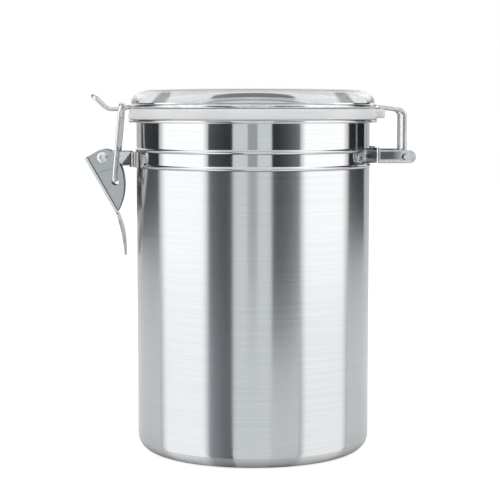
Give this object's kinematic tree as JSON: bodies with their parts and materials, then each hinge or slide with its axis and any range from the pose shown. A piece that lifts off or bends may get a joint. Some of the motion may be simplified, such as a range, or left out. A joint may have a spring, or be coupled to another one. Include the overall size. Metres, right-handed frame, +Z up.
{
  "type": "food canister",
  "caption": "Round steel food canister with a clear hinged lid, soft gasket, wire bail hinge and over-centre lever latch.",
  "frame": {"origin": "middle of the base, on the surface the canister stands on", "axes": "+Z up the can's axis; the hinge is on +X and the latch on -X; the front of the picture faces -Y"},
  "size_m": [0.1688, 0.1282, 0.1868],
  "materials": {
    "brushed_body": "brushed round the can, polished between the beads",
    "stamped_steel": "stamped sheet, tumbled bright",
    "rivet_steel": "satin",
    "bright_wire": "polished drawn wire",
    "clear_lid": "clear moulded acrylic",
    "silicone": "milky translucent, satin"
  },
  "bodies": {
    "canister": {"canister_body": "brushed_body", "hinge_bracket": "stamped_steel", "latch_bracket": "stamped_steel", "latch_rivet": "rivet_steel"},
    "lid": {"lid": "clear_lid", "lid_gasket": "silicone", "lid_wire": "bright_wire"},
    "latch_lever": {"latch_lever": "stamped_steel"},
    "latch_loop": {"latch_loop": "bright_wire"}
  },
  "joints": [
    {"name": "lid_hinge", "type": "hinge", "parent": "canister", "child": "lid", "pos_m": [0.0768, 0, 0.15185], "axis": [0, 1, 0], "range_deg": [0, 110]},
    {"name": "latch_lever_pivot", "type": "hinge", "parent": "canister", "child": "latch_lever", "pos_m": [-0.0771, 0, 0.15125], "axis": [0, 1, 0], "range_deg": [0, 140]},
    {"name": "latch_loop_pivot", "type": "hinge", "parent": "latch_lever", "child": "latch_loop", "pos_m": [-0.07111, 0, 0.13936], "axis": [0, 1, 0], "range_deg": [-166, 0]}
  ],
  "couplings": [
    {"joint": "latch_lever_pivot", "follows": "lid_hinge", "ratio": 1.27},
    {"joint": "latch_loop_pivot", "follows": "lid_hinge", "ratio": -1.5}
  ]
}
